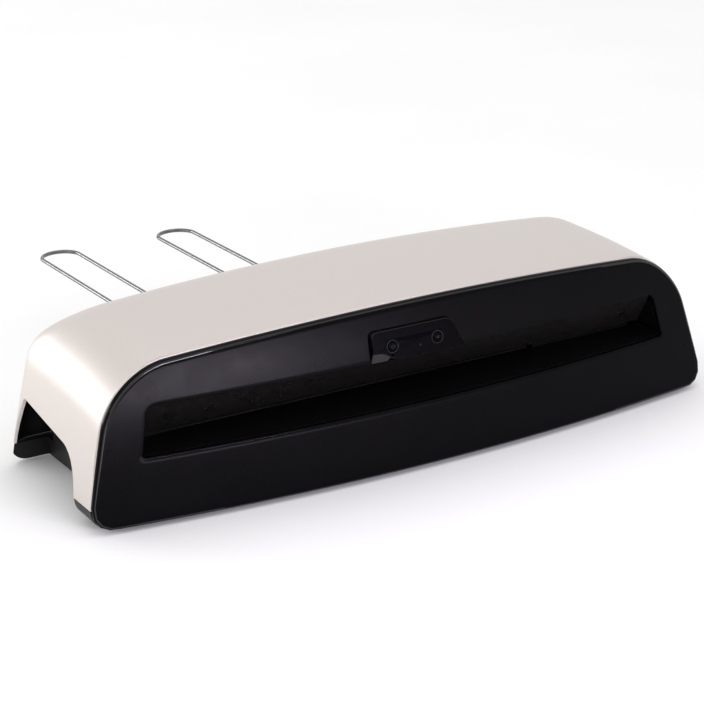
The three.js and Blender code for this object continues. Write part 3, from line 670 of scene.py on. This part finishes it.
def control_pod():
    """The raised pod: a face with a scooped lower left corner, and flanks down to the fascia."""
    foot = [(-47.5, 88.8), (-39, 88.8), (-30, 88.8), (-16, 88.8), (34, 88.8), (22.6, 113.4), (-47.5, 113.4)]
    face = [(-46.8, 96.6), (-38, 96), (-30.5, 91), (-16, 89.5), (32.8, 89.5), (22.1, 112.7), (-46.8, 112.7)]
    radii = [0.8, 4, 4, 4, 0.8, 6, 4.5]
    foot = np.array(softened(foot, radii, 6))
    face = np.array(softened(face, radii, 6))
    spine = np.stack([np.clip(face[:, 0], -38, 18), np.full(len(face), 101.0)], -1)
    loops = [on_face(foot + (face - foot) * t, -GAP - (POD_PROUD - GAP) * t) for t in (0, 0.3, 0.65, 1)]
    loops += [on_face(face + (spine - face) * t, -POD_PROUD) for t in (0.3, 0.6)]
    loops.append(on_face([(-10, 101)] * len(face), -POD_PROUD))
    pod = new_object("control_pod_cover", *loft([[tuple(p) for p in loop] for loop in loops]))
    combine(pod, [well(x, RING_WELL, 1.6) for x in BUTTON_X.values()])
    combine(pod, [well(x, CAP_WELL, WELL_DEPTH) for x in BUTTON_X.values()])
    dress(pod, "casing", POD_GLOSS, ["control_pod"], bevel=0.35, angle=18)
    pod.data.materials.append(EDGE_GLOSS)
    for polygon in pod.data.polygons:
        polygon.material_index = int(abs(facing_front(polygon)) < 0.97)


def buttons():
    for key, x in BUTTON_X.items():
        profile = [(-0.42, 0), (-0.46, 1.2), (-0.58, 2.3), (-0.7, 3.1), (-0.66, 3.5), (-0.5, 3.76),
                   (-0.25, 3.88), (0, 3.9), (6, 3.9), (6, 0)]
        cap = turned(f"{key}_button_cap", button_place(x), INWARD, profile)
        dress(cap, f"{key}_button", POD_GLOSS, [f"{key}_button"])
        ring = softened([(0, 4.25), (0, 5.3), (1.3, 5.3), (1.3, 4.25)], [0.25, 0.4, 0.1, 0.1])
        lens = turned(f"{key}_ring_lens", button_place(x), INWARD, ring, ring=True)
        dress(lens, "casing", RING, [f"{key}_light_ring"])
    lamp = turned("status_lamp", (-6.5, face_y(-6.5, 97) - POD_PROUD, 97), INWARD,
                  [(-0.35, 0), (-0.3, 0.45), (-0.12, 0.85), (0.1, 1), (2, 1), (2, 0)], 24)
    dress(lamp, "casing", RING)


def symbol(name, x, strokes, body):
    """A mark printed on a button's face, from flat strokes given as outlines in the face's own plane."""
    along = Vector(INWARD).normalized()
    up = Vector((0, LEAN, 1)).normalized()
    centre = Vector(button_place(x))
    points, faces = [], []
    for stroke in strokes:
        rings = [[tuple(centre + along * d + Vector((1, 0, 0)) * a + up * b) for a, b in stroke]
                 for d in (-0.56, -0.38)]
        more, skin = loft(rings)
        faces += [tuple(i + len(points) for i in face) for face in skin]
        points += more
    dress(new_object(name, points, faces), body, MARKING)


def arc_stroke(radius, width, start, end, steps=20):
    angles = np.radians(np.linspace(start, end, steps + 1))
    outer = [((radius + width / 2) * math.sin(a), (radius + width / 2) * math.cos(a)) for a in angles]
    inner = [((radius - width / 2) * math.sin(a), (radius - width / 2) * math.cos(a)) for a in angles[::-1]]
    return outer + inner


def bar_stroke(a0, a1, b0, b1):
    return [(a0, b0), (a1, b0), (a1, b1), (a0, b1)]


def button_marks():
    ring_and_bar = [arc_stroke(1.35, 0.34, 35, 325), bar_stroke(-0.17, 0.17, 0.3, 1.75)]
    symbol("power_mark", BUTTON_X["power"], ring_and_bar, "power_button")
    three_bars = [bar_stroke(-1.3, 1.3, *level) for level in ((0.55, 0.85), (-0.15, 0.15), (-0.85, -0.55))]
    symbol("mode_mark", BUTTON_X["mode"], three_bars, "mode_button")


# ---- Feed guides ----
def front_guides():
    """The recess's floor and ends, the sloping guide above them, and strips that close the slit's ends."""
    ring = recess_ring()
    right = [p for p in ring if p[0] >= -1e-9 and p[1] < 80]
    trough = [(-x, z, -dx, dz) for x, z, dx, dz in right[:0:-1]] + [tuple(p) for p in right]
    sections = []
    for x, z, dx, dz in trough:
        x1, z1 = x + dx * 2.5, z + dz * 2.5
        front = face_y(x, z) + FASCIA_THICK + GAP
        sections.append([(x, front, z), (x, GUIDE_END_Y, z), (x1, GUIDE_END_Y, z1), (x1, front, z1)])
    lower = new_object("guide_lower", *loft(sections))
    dress(lower, "casing", FLOOR_BLACK, ["front_guide_lower"], bevel=0.4, angle=50)

    slope = lambda y: GUIDE_TOP - (y - GUIDE_SLOPE_Y) * GUIDE_DROP / GUIDE_RUN
    sections = []
    for share in np.linspace(-1, 1, 61):
        section = []
        front = face_y(share * (recess_half(90) - GAP), 90) + FASCIA_THICK + GAP
        bend = max(front, GUIDE_SLOPE_Y) + GAP
        back = max(front, 31.5) + 0.5
        low = [(front, GUIDE_TOP if front < GUIDE_SLOPE_Y else slope(front)), (bend, slope(bend)),
               (55, slope(55)), (56.2, 57.1), (57.5, 57), (61.5, 57), (62, 57.4)]
        high = [(62, 59.1), (61.5, 59.5), (58, 59.5), (back, slope(back) + GUIDE_SHEET),
                (front, 91.3 if front < 31.5 else slope(front) + GUIDE_SHEET)]
        for y, z in low + high:
            section.append((share * (recess_half(z) - GAP), y, z))
        sections.append(section)
    upper = new_object("guide_upper", *loft(sections))
    dress(upper, "casing", RECESS_BLACK, ["front_guide_upper"], angle=30)

    past_feed = FEED_HALF + 2
    for side, x0, x1 in (("left", -224, FEED_X - past_feed), ("right", FEED_X + past_feed, 224)):
        strip = box_outline(x0, x1, 50, 62, 1)
        blank = prism(f"slit_blank_{side}", strip, "Y", GUIDE_END_Y + 0.1, GUIDE_END_Y + 0.9)
        dress(blank, "casing", FLOOR_BLACK)


# ---- Base ----
def sill_section(y):
    """The base's outer section below the shell: (x, z) points along its underside and up its sides."""
    low, high = FOOT_HEIGHT + 0.402, SHELL_BOTTOM - GAP
    z = low + (high - low) * np.linspace(0, 1, 13) ** 2
    side = hit(np.stack([200 + 0 * z, y + 0 * z, z], -1), (1, 0, 0), SILL_INSET)[:, [0, 2]]
    middle = [(x, low) for x in np.linspace(0, side[0, 0], 15)[:-1]]
    right = np.concatenate([middle, side])
    return np.concatenate([right[:0:-1] * (-1, 1), right])


def sill(name, stations, front=False):
    """A bar under the shell's edge, closed by a flat lid; the front one starts along the bowed fascia."""
    rows = []
    for t in stations:
        section = sill_section(max(t, FRONT_SILL_START))
        x, z = section.T
        lid = np.full(len(x), SHELL_BOTTOM - GAP)
        y = np.full(len(x), float(t))
        if front:
            share = (t - FRONT_SILL_START) / (FRONT_SILL_Y - FRONT_SILL_START)
            start = face_y(x, lid) + FASCIA_THICK + GAP
            y = start + (FRONT_SILL_Y - start) * share
        rows.append((np.stack([x, y, z], -1), np.stack([np.clip(x, x[0], x[-1]), y, lid], -1)))
    return walled(name, rows)


def tray():
    """The pan between the sills: an open basin whose rim steps from wall to wall."""
    rear = PANEL_Y - GAP
    bow = [(x, face_y(x, 46) + FASCIA_THICK + 2 * GAP, 46) for x in np.linspace(-TRAY_HALF, TRAY_HALF, 25)]
    at_corner = bow[0][1]
    left = [(-TRAY_HALF, rear, 16.8), (-TRAY_HALF, 176, 16.8), (-TRAY_HALF, 176, 58), (-TRAY_HALF, 172, 92),
            (-TRAY_HALF, 52, 92), (-TRAY_HALF, at_corner, 46)]
    loop = left[:-1] + bow + [(-x, y, z) for x, y, z in left[-2::-1]]
    centre = np.array([0, 100])

    def inward(p):
        x = np.clip(p[0], -TRAY_HALF + WALL, TRAY_HALF - WALL)
        y = p[1] + WALL if p[1] < 50 else min(p[1], rear - WALL)
        return x, y

    outer_low = [(x, y, FOOT_HEIGHT) for x, y, z in loop]
    inner_high = [(*inward(p), p[2]) for p in loop]
    inner_low = [(*inward(p), FOOT_HEIGHT + WALL) for p in loop]
    return new_object("base_pan", *loft([outer_low, loop, inner_high, inner_low]))


def base():
    """The pan and the two sills that close the shell's lower edge, with the screw holes."""
    pan = dress(holed(tray()), "casing", BLACK, ["base_tray"], bevel=0.5, angle=40)
    pan.name = "base_pan"
    sills = [sill("front_sill", [FRONT_SILL_START, 30, 45, FRONT_SILL_Y], front=True),
             sill("rear_sill", [REAR_SILL_Y, 188, 190, 191.5, 193, 194, 195, BODY_DEPTH - 0.45])]
    for one in sills:
        dress(holed(one), "casing", BLACK, angle=40)


def holed(piece):
    """Sinks the base screws' holes into a piece."""
    profile = [(0, 0), (0, 4.2), (4.4, 4.2), (4.4, 0)]
    return combine(piece, [turned("hole", (x, y, 0), (0, 0, 1), profile, 24) for x, y in SCREW_PLACES])


def screw(name, centre, direction, radius=3.4):
    """A pan-head screw with a cross recess."""
    r = radius
    head = turned(name, centre, direction, [(0, 0), (0, r), (r * 0.25, r * 0.98), (r * 0.45, r * 0.82),
                                           (r * 0.55, r * 0.5), (r * 0.58, 0)], 32)
    way = Vector(direction).normalized()
    side = way.orthogonal().normalized()
    cutters = []
    for one in (side, way.cross(side)):
        other = way.cross(one)
        start = Vector(centre) + way * r * 0.25
        corners = ((-1, -1), (1, -1), (1, 1), (-1, 1))
        ring = [start + one * a * r * 0.55 + other * b * r * 0.12 for a, b in corners]
        cutters.append(new_object("cross", *loft([[tuple(p + way * d) for p in ring] for d in (0, r)])))
    combine(head, cutters)
    return dress(head, "casing", STEEL)


def base_screws():
    for i, (x, y) in enumerate(SCREW_PLACES):
        screw(f"base_screw_{i + 1}", (x, y, 5.6), (0, 0, -1))


def feet():
    for end, y in (("front", 44), ("rear", 172)):
        for side, x in (("left", -215), ("right", 215)):
            profile = [(0, 0), (0.25, 5), (0, 7.2), (0, 8.2), (0.25, 8.75), (0.8, 9), (2.7, 9), (2.7, 0)]
            foot = turned(f"foot_{end}_{side}", (x, y, 0), (0, 0, 1), profile)
            dress(foot, "casing", RUBBER, [f"rubber_foot_{end}_{side}"])


# ---- Rear ----
def slot_outline(x, z0, z1, half):
    """A vertical slot with round ends."""
    top = [(x + half * math.cos(a), z1 - half + half * math.sin(a)) for a in np.linspace(0, math.pi, 9)]
    low = [(x - half * math.cos(a), z0 + half - half * math.sin(a)) for a in np.linspace(0, math.pi, 9)]
    return top + low


def rear_cover():
    corners = [(-PANEL_HALF, SHELL_BOTTOM), (PANEL_HALF, SHELL_BOTTOM), (PANEL_HALF, PANEL_TOP),
               (-PANEL_HALF, PANEL_TOP)]
    outline = softened(corners, [0.5, 0.5, PANEL_RADIUS, PANEL_RADIUS], 8)
    panel = prism("rear_panel", outline, "Y", PANEL_Y, BODY_DEPTH)
    mouth = box_outline(FEED_X - FEED_HALF, FEED_X + FEED_HALF, *MOUTH, 3)
    cutters = [prism("mouth", mouth, *THROUGH_PANEL)]
    vents = [slot_outline(FEED_X - 104 + 16 * i, 26, 46, 1.6) for i in range(14)]
    cutters += [prism("vent", vent, *THROUGH_PANEL) for vent in vents]
    x, z = SWITCH
    cutters.append(prism("switch_hole", box_outline(x - 7, x + 7, z - 11, z + 11, 0.6), *THROUGH_PANEL))
    bore = [(0, 0), (0, 6.3), (30, 6.3), (30, 0)]
    cutters.append(turned("gland_hole", (GLAND[0], THROUGH_PANEL[1], GLAND[1]), (0, 1, 0), bore))
    combine(panel, cutters)
    dress(panel, "casing", BLACK, ["rear_cover"], bevel=0.4, angle=40)
    for i, (x, z) in enumerate(((-218, 28), (-218, 66), (218, 66), (150, 28), (-150, 56))):
        screw(f"rear_screw_{i + 1}", (x, BODY_DEPTH - 0.2, z), (0, 1, 0), 2.8)


def rear_guides():
    y1 = PANEL_Y - GAP
    for level, inner, outer in (("lower", NIP_Z - 3.5, MOUTH[0] - 2), ("upper", NIP_Z + 2, MOUTH[1])):
        profile = softened([(152, inner), (y1, outer), (y1, outer + 2), (152, inner + 2)], 0.5, 3)
        guide = prism(f"rear_guide_{level}_plate", profile, "X", FEED_X - FEED_HALF, FEED_X + FEED_HALF)
        dress(guide, "casing", BLACK, [f"rear_guide_{level}"], bevel=0.3)


def power_switch():
    """The rocker key, drawn level about its pivot and then rocked to its rest angle, with its two marks."""
    x, z = SWITCH
    pivot = Vector((x, 192, z))
    profile = softened([(-3, -8), (5.4, -9.6), (4.9, -4.6), (4.6, 0), (4.9, 4.6), (5.4, 9.6), (-3, 8)],
                       [0.4, 0.7, 4, 6, 4, 0.7, 0.4], 5)
    turn = Matrix.Rotation(math.radians(-7), 3, "X")
    rock = lambda p: tuple(turn @ Vector(p) + pivot)
    key = new_object("switch_key", *loft([[rock((a, b, c)) for b, c in profile] for a in (-6, 6)]))
    dress(key, "power_switch", BLACK, ["power_switch"], bevel=0.5, angle=50)
    for name, stroke, centre in (("on", bar_stroke(-0.3, 0.3, -1.7, 1.7), 5.6),
                                 ("off", arc_stroke(1.5, 0.55, 0, 359.9, 28), -5.6)):
        depth = 4.86
        rings = [[rock((a, d, b + centre)) for a, b in stroke] for d in (depth - 0.3, depth + 0.14)]
        if name == "off":
            half = len(stroke) // 2
            rings = [[ring[i] for ring, i in ((rings[0], k), (rings[1], k), (rings[1], len(stroke) - 1 - k),
                                              (rings[0], len(stroke) - 1 - k))] for k in range(half)]
        mark = new_object(f"switch_{name}_mark", *loft(rings))
        dress(mark, "power_switch", MARKING)
    frame_out = box_outline(x - 9.2, x + 9.2, z - 13.2, z + 13.2, 2)
    bezel = prism("switch_bezel", frame_out, "Y", BODY_DEPTH + 0.02, BODY_DEPTH + 1.1)
    combine(bezel, [prism("hole", box_outline(x - 6.8, x + 6.8, z - 10.8, z + 10.8, 0.8), "Y", 190, 210)])
    dress(bezel, "casing", BLACK, bevel=0.35, angle=40)


def cord_gland():
    ribs = []
    for k in range(3):
        y = 202.2 + k * 1.1
        ribs += [(y, 5.9), (y + 0.25, 5.9), (y + 0.35, 5.3), (y + 0.75, 5.3), (y + 0.85, 5.9)]
    profile = [(190, 6), (196.3, 6), (196.3, 8.3), (196.5, 8.5), (199.4, 8.5), (199.9, 8.1), (200, 6.3),
               (200.4, 6)] + [(y, r - 0.02 * k) for k, (y, r) in enumerate(ribs)] + \
              [(204.9, 5.4), (205, 5.0), (205, 3.9), (204.7, 3.6), (190, 3.6)]
    gland = turned("gland", (GLAND[0], 0, GLAND[1]), (0, 1, 0), profile, ring=True)
    dress(gland, "casing", RUBBER, ["cord_gland"])


def wire_supports():
    radius, half, bend, pivot, tip, z = 1.75, 17.5, 4, 201, WIRE_TIP_Y, 60
    turn = tip - radius - half
    for side, sign in (("left", -1), ("right", 1)):
        x = FEED_X + sign * 58
        leg = [(-half + 9, pivot), (-half + 6, pivot)]
        leg += [(-half + bend - bend * math.sin(a), pivot + bend - bend * math.cos(a))
                for a in np.linspace(0, math.pi / 2, 9)]
        leg += [(-half, y) for y in np.linspace(pivot + bend, turn, 12)[1:-1]]
        tip_arc = [(-half * math.cos(a), turn + half * math.sin(a)) for a in np.linspace(0, math.pi, 33)]
        path = leg + tip_arc + [(-dx, y) for dx, y in leg[::-1]]
        wire = swept(f"wire_{side}", [(x + dx, y, z) for dx, y in path], radius)
        dress(wire, f"wire_support_{side}", CHROME, [f"wire_support_{side}"], angle=60)
        inner = half - bend - GAP
        y0, y1, z0, z1 = BODY_DEPTH + GAP, pivot + 4.5, z - 6, MOUTH[0] - 0.2
        outline = softened([(y0, z0), (y1, z0), (y1, z1), (y0, z1)], [0.3, 2.2, 2.2, 0.3], 5)
        clip = prism(f"clip_{side}", outline, "X", x - inner, x + inner)
        bore = turned("bore", (x - 40, pivot, z), (1, 0, 0), [(0, 0), (0, 2), (80, 2), (80, 0)], 32)
        combine(clip, [bore])
        dress(clip, "casing", BLACK, [f"wire_clip_{side}"], bevel=0.4, angle=40)


# ---- The inside ----
ROLLER_Y = {"front": 100, "rear": 140}
AXIS_Z = {"lower": NIP_Z - 10, "upper": NIP_Z + 10}
PLATE_X = {"left": FEED_X - 172, "right": FEED_X + 172}
GEAR_X = PLATE_X["right"] + 8
GEAR_END = GEAR_X + 7


def rollers():
    for row, y in ROLLER_Y.items():
        for level, z in AXIS_Z.items():
            body = f"{row}_{level}_roller"
            at = (0, y, z)
            x0, x1 = FEED_X - 165, FEED_X + 165
            sleeve = [(x0, 4.25), (x0, 9.1), (x0 + 0.7, 9.8), (x1 - 0.7, 9.8), (x1, 9.1), (x1, 4.25)]
            piece = turned(f"{row}_{level}_sleeve", at, (1, 0, 0), sleeve, 64, ring=True)
            dress(piece, body, SILICONE, [f"{row}_roller_{level}"])
            a, b = PLATE_X["left"] - 7, GEAR_END + 2
            shaft = [(a, 0), (a, 3.4), (a + 0.6, 4), (a + 1.4, 4), (a + 1.4, 3.3), (a + 2.3, 3.3),
                     (a + 2.3, 4), (b - 0.5, 4), (b, 3.5), (b, 0)]
            piece = turned(f"{row}_{level}_shaft", at, (1, 0, 0), shaft, 32)
            dress(piece, body, STEEL, [f"{row}_shaft_{level}"])
            for side, out in (("left", -1), ("right", 1)):
                plate = PLATE_X["left"] if side == "left" else PLATE_X["right"] + 2
                steps = [(-3, 4.2), (-3, 5.7), (-2.7, 6), (0.3, 6), (0.3, 7), (0.5, 7.2), (4.2, 7.2),
                         (4.5, 6.9), (4.5, 4.2)]
                profile = [(plate + out * d, r) for d, r in steps]
                piece = turned(f"{row}_{level}_bush_{side}", at, (1, 0, 0), profile, 40, ring=True)
                dress(piece, "casing", ACETAL, [f"{row}_bush_{level}_{side}"])


def springs():
    for side in ("left", "right"):
        x = PLATE_X["left"] - 2.6 if side == "left" else PLATE_X["right"] + 4.6
        for row, y in ROLLER_Y.items():
            low, high, turns = AXIS_Z["upper"] + 8.2, 84, 4
            path = []
            for t in np.linspace(0, 1, 97):
                angle = 2 * math.pi * turns * t
                path.append((x + 1.9 * math.cos(angle), y + 1.9 * math.sin(angle), low + (high - low) * t))
            spring = swept(f"spring_{row}_{side}", path, 0.4, 8)
            dress(spring, "casing", STEEL, [f"pressure_spring_{row}_{side}"])


def control_board():
    """The mains board: a laminate with its transformer, relay, capacitors and terminal block."""
    laminate = prism("power_laminate", box_outline(156, 228, 68, 172, 1.5), "Z", 10, 11.6)
    dress(laminate, "casing", BOARD, ["power_board"], bevel=0.15)
    blocks = {"transformer": ((164, 192, 76, 104, 30), 2),
              "relay": ((202, 222, 80, 98, 26), 1),
              "terminal_block": ((166, 186, 146, 164, 24), 0.6),
              "heat_sink": ((204, 218, 130, 160, 28), 0.5)}
    for name, ((x0, x1, y0, y1, top), radius) in blocks.items():
        part = prism(name, box_outline(x0, x1, y0, y1, radius), "Z", 11.65, top)
        if name == "heat_sink":
            combine(part, [prism("fin_gap", box_outline(206, 220, y, y + 3, 0.3), "Z", 14, 40)
                           for y in range(133, 158, 6)])
        look = {"heat_sink": ALUMINIUM, "transformer": ZINC}.get(name, BLACK)
        dress(part, "casing", look, bevel=0.5)
    for i, (x, y, r, top) in enumerate(((178, 120, 7, 31), (196, 122, 5, 27))):
        profile = [(11.65, 0), (11.65, r), (12.4, r), (12.9, r - 0.4), (13.4, r), (top - 0.8, r),
                   (top, r - 0.8), (top, 0)]
        can = turned(f"capacitor_{i + 1}", (x, y, 0), (0, 0, 1), profile, 40)
        dress(can, "casing", ALUMINIUM)


def carried_over():
    """Finishes for the CAD nodes whose own shape stays."""
    # The chassis plates take the darkened zinc: painted shade for the machine's dark inside.
    looks = {"chassis_plate": ZINC_PAINTED_SHADE, "cross_rail": ZINC, "motor_bracket": ZINC, "gear_motor": STEEL,
             "heater_plate": COATED, "thermostat": ALUMINIUM, "button_board": BOARD, "motor_pinion": STEEL,
             "idler_gear": ACETAL, "front_gear": ACETAL, "rear_gear": ACETAL}
    for name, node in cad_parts.items():
        for start, look in looks.items():
            if name.startswith(start):
                node.data.materials.clear()
                node.data.materials.append(look)


# ---- Stage, light and camera ----
def stage_floor():
    half = 9000
    floor = new_object("floor", [(-half, -half, 0), (half, -half, 0), (half, half, 0), (-half, half, 0)],
                       [(0, 1, 2, 3)])
    f = Finish("floor_pale", roughness=0.9, specular=0.1)
    f.colour(f.noise(4, 2), (0.3, (0.86, 0.86, 0.86)), (0.7, (0.88, 0.88, 0.88)))
    floor.data.materials.append(f.material)


def softbox(name, at, aim, size, power, tint=(1, 1, 1)):
    """A rectangular soft light in metres of the row frame."""
    lamp = bpy.data.lights.new(name, "AREA")
    lamp.shape = "RECTANGLE"
    lamp.size, lamp.size_y = size
    lamp.energy = power
    lamp.color = tint
    obj = bpy.data.objects.new(name, lamp)
    obj.location = at
    obj.rotation_euler = (Vector(aim) - Vector(at)).to_track_quat("-Z", "Y").to_euler()
    bpy.context.scene.collection.objects.link(obj)


def light():
    world = bpy.data.worlds.new("studio")
    world.use_nodes = True
    world.node_tree.nodes["Background"].inputs["Color"].default_value = (1, 1, 1, 1)
    world.node_tree.nodes["Background"].inputs["Strength"].default_value = 0.95
    bpy.context.scene.world = world
    softbox("key_left", (-2.7, 0.0, 1.05), (0, 0, 0.05), (2.0, 1.2), 8)
    softbox("overhead", (0.2, 0.5, 2.6), (0, 0, 0), (2.4, 2.4), 10)
    softbox("rear_left", (-1.9, 2.5, 0.64), (-0.1, -0.1, 0.1), (1.6, 0.8), 28)
    softbox("table_glow", (0, -1.3, 0.28), (0, -1.3, 0), (0.45, 0.2), 32, (0.93, 0.83, 1))


def camera():
    yaw, pitch, roll = (math.radians(a) for a in (29.65, 19.54, -1.79))
    ahead = Vector((math.sin(yaw) * math.cos(pitch), math.cos(yaw) * math.cos(pitch), -math.sin(pitch)))
    level = Vector((math.cos(yaw), -math.sin(yaw), 0))
    rise = level.cross(ahead)
    right = math.cos(roll) * level + math.sin(roll) * rise
    up = math.cos(roll) * rise - math.sin(roll) * level
    lens = bpy.data.cameras.new("camera")
    lens.lens = 117.2
    lens.sensor_width = 36
    eye = bpy.data.objects.new("camera", lens)
    eye.matrix_world = Matrix((right, up, -ahead)).transposed().to_4x4()
    eye.location = (-0.847, -1.617227, 0.664)
    bpy.context.scene.collection.objects.link(eye)
    bpy.context.scene.camera = eye


bpy.context.scene.view_settings.view_transform = "Standard"
stage_floor()
light()
camera()
top_shell()
front_fascia()
control_pod()
buttons()
button_marks()
front_guides()
base()
base_screws()
feet()
rear_cover()
rear_guides()
power_switch()
cord_gland()
wire_supports()
rollers()
springs()
control_board()
carried_over()
